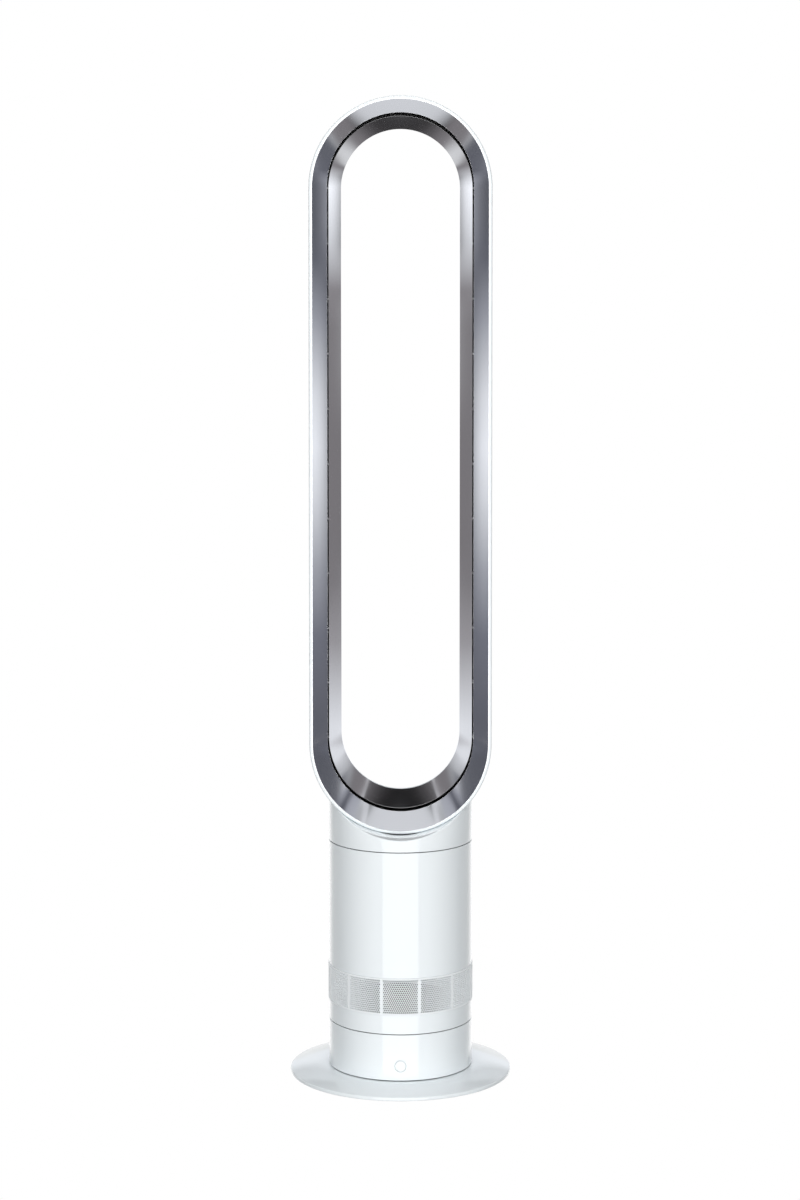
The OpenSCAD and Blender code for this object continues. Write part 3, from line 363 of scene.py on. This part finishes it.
# Main body: two tubes joined by ribs behind the grille's separators
def ribbed_body():
    seat_low, seat_top = GRILLE_LOW - SEAT_GAP, GRILLE_TOP + SEAT_GAP
    window_low, window_top = HOLES_Z - WINDOW_GAP, HOLES_TOP + WINDOW_GAP
    points, faces = [], []

    def join(more_points, more_faces):
        first = len(points)
        points.extend(more_points)
        faces.extend(tuple(first + i for i in f) for f in more_faces)

    join(*turned([
        (INNER_R, MAIN_Z), (BODY_R - EDGE, MAIN_Z), (BODY_R, MAIN_Z + EDGE),
        (BODY_R, seat_low - SEAT_EDGE), (BODY_R - SEAT_EDGE, seat_low), (SEAT_R, seat_low),
        (SEAT_R, window_low), (INNER_R, window_low)]))
    join(*turned([
        (INNER_R, window_top), (SEAT_R, window_top), (SEAT_R, seat_top),
        (BODY_R - SEAT_EDGE, seat_top), (BODY_R, seat_top + SEAT_EDGE), (BODY_R, MAIN_TOP - EDGE),
        (BODY_R - EDGE, MAIN_TOP), (BODY_R - LIP_T, MAIN_TOP), (BODY_R - LIP_T, MAIN_TOP - LIP_H),
        (INNER_R, MAIN_TOP - LIP_H)]))
    for i in range(PANELS):
        middle, half = math.tau * (i + 0.5) / PANELS - math.pi / 2, RIB_HALF / BODY_R
        corners = ((INNER_R, middle - half), (SEAT_R, middle - half),
                   (SEAT_R, middle + half), (INNER_R, middle + half))
        join([ring_point(r, a, z) for z in (window_low, window_top) for r, a in corners],
             [(0, 1, 5, 4), (1, 2, 6, 5), (2, 3, 7, 6), (3, 0, 4, 7), (0, 3, 2, 1), (4, 5, 6, 7)])
    return points, faces


piece("main_body", *ribbed_body(), "gloss_white", "head", "main_shell")


# Perforated sleeve: every other row is shifted by half a pitch
def perforated():
    columns = 2 * COLS + 1
    half = PITCH / 2 / GRILLE_R
    angles = [math.tau * p / PANELS - math.pi / 2 + half * (i - COLS) for p in range(PANELS)
              for i in range(columns)]
    n = len(angles)
    levels = [HOLES_Z + PITCH * j for j in range(ROWS + 1)]
    inner_r, soft_r = GRILLE_R - GRILLE_T, GRILLE_R - GRILLE_EDGE
    outer = [(soft_r, GRILLE_LOW), (GRILLE_R, GRILLE_LOW + GRILLE_EDGE)]
    outer += [(GRILLE_R, z) for z in levels]
    outer += [(GRILLE_R, GRILLE_TOP - GRILLE_EDGE), (soft_r, GRILLE_TOP)]
    inner = [(inner_r, GRILLE_TOP)] + [(inner_r, z) for z in levels[::-1]] + [(inner_r, GRILLE_LOW)]
    rows = outer + inner
    points = [ring_point(r, a, z) for r, z in rows for a in angles]
    faces = []
    front, back = 2, len(outer) + 1

    def quad(j, k, i):
        faces.append((j * n + i, j * n + (i + 1) % n, k * n + (i + 1) % n, k * n + i))

    def holed(i, low, high, r, z):
        """The faces from a cell's six points to a hole in its middle; returns the hole's points."""
        first = len(points)
        for s in range(HOLE_SIDES):
            t = math.tau * (s + 0.5) / HOLE_SIDES
            points.append(ring_point(r, angles[i + 1] + HOLE_R * math.cos(t) / GRILLE_R,
                                     z + HOLE_R * math.sin(t)))
        hole = [first + s for s in range(HOLE_SIDES)]
        bl, bm, br = (low * n + i + c for c in (0, 1, 2))
        tl, tm, tr = (high * n + i + c for c in (0, 1, 2))
        faces.extend(((tr, tm, hole[2], hole[1]), (tm, hole[3], hole[2]),
                      (tm, tl, hole[4], hole[3]), (tl, bl, hole[7], hole[6], hole[5], hole[4]),
                      (bl, bm, hole[8], hole[7]), (bm, hole[9], hole[8]),
                      (bm, br, hole[10], hole[9]), (br, tr, hole[1], hole[0], hole[11], hole[10])))
        return hole

    for j in range(len(rows)):
        if not (front <= j < front + ROWS or back <= j < back + ROWS):
            for i in range(n):
                quad(j, (j + 1) % len(rows), i)
    for row in range(ROWS):
        f0, f1 = front + row, front + row + 1
        b0, b1 = back + ROWS - row, back + ROWS - row - 1
        short = row % 2
        for p in range(PANELS):
            for i in [columns - 1] + ([0, columns - 2] if short else []):
                quad(f0, f1, p * columns + i)
                quad(b0, b1, p * columns + i)
            for h in range(COLS - short):
                i, z = p * columns + short + 2 * h, levels[row] + PITCH / 2
                near, far = holed(i, f0, f1, GRILLE_R, z), holed(i, b0, b1, inner_r, z)
                for s in range(HOLE_SIDES):
                    t = (s + 1) % HOLE_SIDES
                    faces.append((near[s], near[t], far[t], far[s]))
    return points, faces


piece("perforated_sleeve", *perforated(), "grille_white", "head", "inlet_grille")


# Lower body: a tube with a round hole for the button and an arched one for the gland
def pierced(holes, steps=192, parts=4, slack=1e-6):
    """Tube; each hole is (angle, z, window, outline, rings of (grow, sink)).

    The window is the part of the tube's grid that the hole replaces: columns, reach down and
    reach up. The outline gives a point for a direction, and the rings round its outer edge.
    """
    points, faces, grid, skip = [], [], {}, set()
    levels = sorted({z + reach * k / parts for _, z, (_, down, up), _, _ in holes
                     for reach in (-down, up) for k in range(parts + 1)})
    rows = ([(BODY_R - EDGE, LOWER_Z), (BODY_R, LOWER_Z + EDGE)] + [(BODY_R, z) for z in levels]
            + [(BODY_R, LOWER_TOP - EDGE), (BODY_R - EDGE, LOWER_TOP), (BODY_R - LIP_T, LOWER_TOP),
               (BODY_R - LIP_T, LOWER_TOP - LIP_H), (INNER_R, LOWER_TOP - LIP_H)]
            + [(INNER_R, z) for z in levels[::-1]] + [(INNER_R, LOWER_Z)])

    def add(r, a, z):
        points.append(ring_point(r, a, z))
        return len(points) - 1

    def band(a, b):
        """Faces between two closed chains of points."""
        n = len(a)
        faces.extend((a[k], a[(k + 1) % n], b[(k + 1) % n], b[k]) for k in range(n))

    for j, (r, z) in enumerate(rows):
        for i in range(steps):
            grid[j, i] = add(r, math.tau * i / steps, z)
    for angle, zc, (columns, down, up), outline, rings in holes:
        c = round(angle / math.tau * steps)
        i0, i1 = c - columns // 2, c + columns // 2
        mouths = []
        for r, around in ((BODY_R, rings), (INNER_R, ((rings[0][0], 0.0),))):
            inside = [j for j, (rr, z) in enumerate(rows)
                      if rr == r and -down - slack <= z - zc <= up + slack]
            inside.sort(key=lambda j: rows[j][1])
            for j in range(min(inside), max(inside)):
                skip |= {(j, i % steps) for i in range(i0, i1)}
            window = ([(inside[0], i) for i in range(i0, i1)]
                      + [(j, i1) for j in inside[:-1]]
                      + [(inside[-1], i) for i in range(i1, i0, -1)]
                      + [(j, i0) for j in inside[:0:-1]])
            last = [grid[j, i % steps] for j, i in window]
            directions = [math.atan2(rows[j][1] - zc, (i - c) * math.tau / steps * BODY_R)
                          for j, i in window]
            for grow, sink in around:
                ring = []
                for t in directions:
                    u, v = outline(t)
                    size = 1 + grow / math.hypot(u, v)
                    ring.append(add(r - sink, angle + u * size / BODY_R, zc + v * size))
                band(last, ring)
                last = ring
            mouths.append(last)
        band(*mouths)
    for j in range(len(rows)):
        k = (j + 1) % len(rows)
        for i in range(steps):
            if (j, i) not in skip:
                faces.append((grid[j, i], grid[j, (i + 1) % steps],
                              grid[k, (i + 1) % steps], grid[k, i]))
    return points, faces


def button_hole(t):
    return (BUTTON_R + BUTTON_GAP) * math.cos(t), (BUTTON_R + BUTTON_GAP) * math.sin(t)


def gland_hole(t):
    """Round above, straight down the sides and flat below."""
    c, s, least = math.cos(t), math.sin(t), 1e-6
    far = GLAND_R if s > 0 else min(GLAND_R / max(abs(c), least), GLAND_DROP / max(-s, least))
    return far * c, far * s


FRONT, REAR = math.tau * 0.75, math.tau * 0.25
BUTTON_WINDOW, GLAND_WINDOW = (8, 9.6, 9.6), (6, 5.9, 7.9)
ROUNDED, SHARP = ((0.35, 0.0), (0.1, 0.12), (0.0, 0.35)), ((0.0, 0.0),)
piece("lower_body", *pierced([(FRONT, BUTTON_Z, BUTTON_WINDOW, button_hole, ROUNDED),
                              (REAR, GLAND_Z, GLAND_WINDOW, gland_hole, SHARP)]),
      "gloss_white", "base", "lower_shell")


# Button: its face follows the body, with a fine ring
def button(steps=64):
    rings = []
    for r, sink in ((0.0, BUTTON_DEPTH), (BUTTON_R, BUTTON_DEPTH),
                    *((BUTTON_R - inset, sink) for inset, sink in BUTTON_EDGE),
                    *((BUTTON_R * share, 0.0) for share in BUTTON_SHARES)):
        ring = []
        for i in range(steps):
            x, up, _ = ring_point(r, math.tau * i / steps, 0.0)
            front = BODY_R if sink == BUTTON_DEPTH else math.sqrt(BODY_R ** 2 - x * x)
            ring.append((x, sink - front, BUTTON_Z + up))
        rings.append(ring)
    return loft(rings)


piece("start_button", *button(), "gloss_white", "button", "power_button")


# Base disc: hollow below, a rounded rim and a crown that rises to the body
def disc_profile():
    edge_r, land_r, rim_top = DISC_R - DISC_LIP, BODY_R + DISC_LAND, DISC_LOW + DISC_RIM - DISC_LIP
    profile = [(0.0, DISC_SEAT), (0.0, HOLLOW_Z), (HOLLOW_R, HOLLOW_Z),
               (DISC_R - BEVEL_W, DISC_LOW + BEVEL_H), (edge_r - FOOT_W, DISC_LOW)]
    profile += arc(edge_r, DISC_LOW + DISC_LIP, DISC_LIP, -90, 0, DISC_STEPS)
    profile += arc(edge_r, rim_top, DISC_LIP, 0, CROWN_START, DISC_STEPS)
    profile += [(land_r + (edge_r - land_r) * s, DISC_TOP - DISC_CROWN * s * s)
                for s in between(1.0, 0.0, CROWN_STEPS)[1:]]
    return profile + [(BODY_R - LIP_T, DISC_TOP), (BODY_R - LIP_T, DISC_SEAT)]


piece("base_plate", *turned(disc_profile()), "gloss_white", "base", "base_disc")

# Finishes of the nodes taken from the frame
for part in frame["record"]["subparts"]:
    cad_node = frame["nodes"].get(part["node"])
    if cad_node is not None:
        cad_node.data.materials.clear()
        cad_node.data.materials.append(FINISH[part["material_slot"]])

# World: white to the camera, a studio to reflections, soft light from above and behind to the rest
# The studio's stops are (degrees from the front, level), with a brighter strip in the front
DEG = math.degrees(1)
STUDIO = ((0, 0.9), (29, 0.9), (31, 1.75), (45, 1.6), (68, 1.0), (88, 0.4), (108, 0.12),
          (130, 0.5), (145, 1.0), (154, 1.3), (166, 1.3), (180, 1.0))
STRIP_SIDE, STRIP_END, STRIP_GAIN = (28.6, 29.4), (55.0, 65.0), 2.6
TOP_LIGHT, REAR_LIGHT, REAR_POWER = 0.75, 0.6, 2.0
WHITE = (1.0, 1.0, 1.0, 1.0)
world = bpy.data.worlds.new("studio")
bpy.context.scene.world = world
world.cycles.sampling_method = "NONE"
world.use_nodes = True
tree = world.node_tree
tree.nodes.clear()
x, y, z = node(tree, "SeparateXYZ", {0: node(tree, "TexCoord").outputs["Generated"]}).outputs
azimuth = calc(tree, "MULTIPLY", calc(tree, "ARCTAN2", calc(tree, "ABSOLUTE", x),
                                      calc(tree, "MULTIPLY", y, -1.0)), DEG)
rise = calc(tree, "MULTIPLY", calc(tree, "ARCSINE", z), DEG)
strip = calc(tree, "MULTIPLY", calc(tree, "SUBTRACT", 1.0, step(tree, azimuth, *STRIP_SIDE)),
             calc(tree, "SUBTRACT", 1.0, step(tree, calc(tree, "ABSOLUTE", rise), *STRIP_END)))
studio = node(tree, "Background", {
    "Color": ramp(tree, azimuth, STUDIO, 0.0, 180.0),
    "Strength": calc(tree, "ADD", 1.0, calc(tree, "MULTIPLY", strip, STRIP_GAIN))})
above = calc(tree, "MAXIMUM", z, 0.0)
behind = calc(tree, "POWER", calc(tree, "MAXIMUM", y, 0.0), REAR_POWER)
soft = node(tree, "Background", {
    "Color": WHITE,
    "Strength": calc(tree, "ADD", calc(tree, "MULTIPLY", TOP_LIGHT, above),
                     calc(tree, "MULTIPLY", REAR_LIGHT, behind))})
plain = node(tree, "Background", {"Color": WHITE})
path = node(tree, "LightPath")
lit = node(tree, "MixShader", {0: path.outputs["Is Glossy Ray"], 1: soft.outputs[0],
                               2: studio.outputs[0]})
seen = node(tree, "MixShader", {0: path.outputs["Is Camera Ray"], 1: lit.outputs[0],
                                2: plain.outputs[0]})
node(tree, "OutputWorld", {"Surface": seen.outputs[0]})

# Front light: a wide soft disc that reflections do not show, in metres and watts
LAMP_AWAY, LAMP_HEIGHT, LAMP_WIDTH, LAMP_POWER = 6.0, 0.5, 6.4, 455.0
lamp = placed("front_light", bpy.data.lights.new("front_light", "AREA"))
lamp.location = (0.0, -LAMP_AWAY, LAMP_HEIGHT)
lamp.rotation_euler = (math.radians(90), 0.0, 0.0)
lamp.data.shape, lamp.data.size, lamp.data.energy = "DISK", LAMP_WIDTH, LAMP_POWER
lamp.visible_camera = lamp.visible_glossy = False


def screen(name, corners, mat):
    """A single face of the stage."""
    mesh = bpy.data.meshes.new(name)
    mesh.from_pydata(corners, [], [(0, 1, 2, 3)])
    mesh.materials.append(mat)
    return placed(name, mesh)


# Floor: white to the camera, a pale bounce to the rest
FLOOR_HALF, FLOOR_BOUNCE = 12.0, 0.55
mat = empty_material("floor_white")
tree = mat.node_tree
bounce = node(tree, "BsdfDiffuse", {"Color": (FLOOR_BOUNCE, FLOOR_BOUNCE, FLOOR_BOUNCE, 1.0)})
mix = node(tree, "MixShader", {0: node(tree, "LightPath").outputs["Is Camera Ray"],
                               1: bounce.outputs[0], 2: node(tree, "Emission").outputs[0]})
node(tree, "OutputMaterial", {"Surface": mix.outputs[0]})
floor = screen("floor", [(-FLOOR_HALF, -FLOOR_HALF, 0), (FLOOR_HALF, -FLOOR_HALF, 0),
                         (FLOOR_HALF, FLOOR_HALF, 0), (-FLOOR_HALF, FLOOR_HALF, 0)], mat)
floor.visible_glossy = False

# Card behind the loop, seen only in reflections: light and dark fields for the silver bands
# A stop is (height in millimetres, level), and the fields follow from the middle outwards
CARD_Y, CARD_HALF, CARD_LOW, CARD_TOP = 760.0, 800.0, 150.0, 1270.0
NEUTRAL, WARM, COOL = (0.965, 0.99, 1.045), (1.02, 0.97, 1.03), (0.91, 0.95, 1.15)
MIDDLE = ((215, 1.3), (285, 0.66), (395, 0.64), (465, 0.02), (510, 0.035), (600, 0.2), (700, 0.2),
          (960, 0.005), (1010, 0.002), (1080, 0.66))
INNER = ((206, 0.76), (320, 0.3), (400, 0.19), (740, 0.19), (790, 0.25), (860, 0.82), (930, 1.25),
         (1005, 0.54), (1060, 0.7), (1100, 0.68))
SLOPE = ((370, 0.82), (480, 0.58), (716, 0.17), (800, 0.15), (1012, 0.42), (1120, 0.58))
DARK = ((800, 0.12), (880, 0.4), (1012, 0.45))
OUTER = ((190, 0.12), (310, 0.2), (400, 0.45), (500, 0.9), (570, 1.1), (640, 0.95), (746, 0.42),
         (829, 0.12), (880, 0.08))
MARGIN_LEVEL, TINTED, UNTINTED = 0.1, 0.2, 0.6
INNER_SIDE, INNER_MOVES, INNER_END = 340.0, ((-120.0, 430.0, 500.0), (186.0, 690.0, 860.0)), 412.0
SLOPE_SIDE, SLOPE_MOVES, SLOPE_FADE = 482.0, ((-27.0, 420.0, 330.0), (-28.0, 940.0, 985.0)), 26.0
DARK_SIDE, DARK_MOVES, DARK_FADE = 528.0, ((-24.0, 500.0, 560.0),), 28.0
OUTER_SIDES, MARGIN_SIDES = (612.0, 634.0), (664.0, 680.0)
PATCH_SIDES, PATCH_HEIGHTS = ((265.0, 330.0), (402.0, 384.0)), ((585.0, 700.0), (792.0, 758.0))
PATCH = (0.66, 0.67, 0.69)
mat = empty_material("card_light")
tree = mat.node_tree
x, y, z = node(tree, "SeparateXYZ", {0: node(tree, "TexCoord").outputs["Object"]}).outputs
side = calc(tree, "MULTIPLY", calc(tree, "ABSOLUTE", x), 1 / MM)
high = calc(tree, "MULTIPLY", z, 1 / MM)


def field(stops, tint):
    """Levels along the height; dark stops take the tint, light ones turn neutral."""
    colours = []
    for at, level in stops:
        t = min(max((level - TINTED) / (UNTINTED - TINTED), 0.0), 1.0)
        colours.append((at, tuple(level * (c + (n - c) * t) for c, n in zip(tint, NEUTRAL))))
    return ramp(tree, high, colours, CARD_LOW, CARD_TOP)


def border(start, moves):
    """A side limit; each move (by, low, top) shifts it as the height goes from low to top."""
    for by, low, top in moves:
        start = calc(tree, "ADD", start, calc(tree, "MULTIPLY", by, step(tree, high, low, top)))
    return start


slope, dark = border(SLOPE_SIDE, SLOPE_MOVES), border(DARK_SIDE, DARK_MOVES)
shade = field(MIDDLE, WARM)
for low, top, over in (
        (border(INNER_SIDE, INNER_MOVES), INNER_END, field(INNER, WARM)),
        (slope, calc(tree, "ADD", slope, SLOPE_FADE), field(SLOPE, NEUTRAL)),
        (dark, calc(tree, "ADD", dark, DARK_FADE), field(DARK, COOL)),
        (*OUTER_SIDES, field(OUTER, COOL)),
        (*MARGIN_SIDES, tuple(MARGIN_LEVEL * c for c in COOL))):
    shade = blend(tree, step(tree, side, low, top), shade, over)
patch = 1.0
for value, windows in ((side, PATCH_SIDES), (high, PATCH_HEIGHTS)):
    for low, top in windows:
        patch = calc(tree, "MULTIPLY", patch, step(tree, value, low, top))
glow = node(tree, "Emission", {"Color": blend(tree, patch, shade, PATCH)})
node(tree, "OutputMaterial", {"Surface": glow.outputs[0]})
card = screen("card", [(s * CARD_HALF * MM, CARD_Y * MM, h * MM) for s, h in (
    (-1, CARD_LOW), (1, CARD_LOW), (1, CARD_TOP), (-1, CARD_TOP))], mat)
card.visible_camera = card.visible_diffuse = card.visible_shadow = False
card.visible_transmission = False

# Camera and output
cam = placed("camera", bpy.data.cameras.new("camera"))
cam.location = (0.0, -CAM_DISTANCE, CAM_HEIGHT)
cam.rotation_euler = (math.radians(90 - CAM_PITCH), 0.0, 0.0)
cam.data.lens, cam.data.sensor_width = CAM_LENS, CAM_SENSOR
cam.data.shift_x, cam.data.shift_y = CAM_SHIFT
cam.data.clip_start, cam.data.clip_end = CAM_CLIP
scene = bpy.context.scene
scene.camera = cam
scene.view_settings.view_transform = "Standard"

bpy.context.view_layer.update()
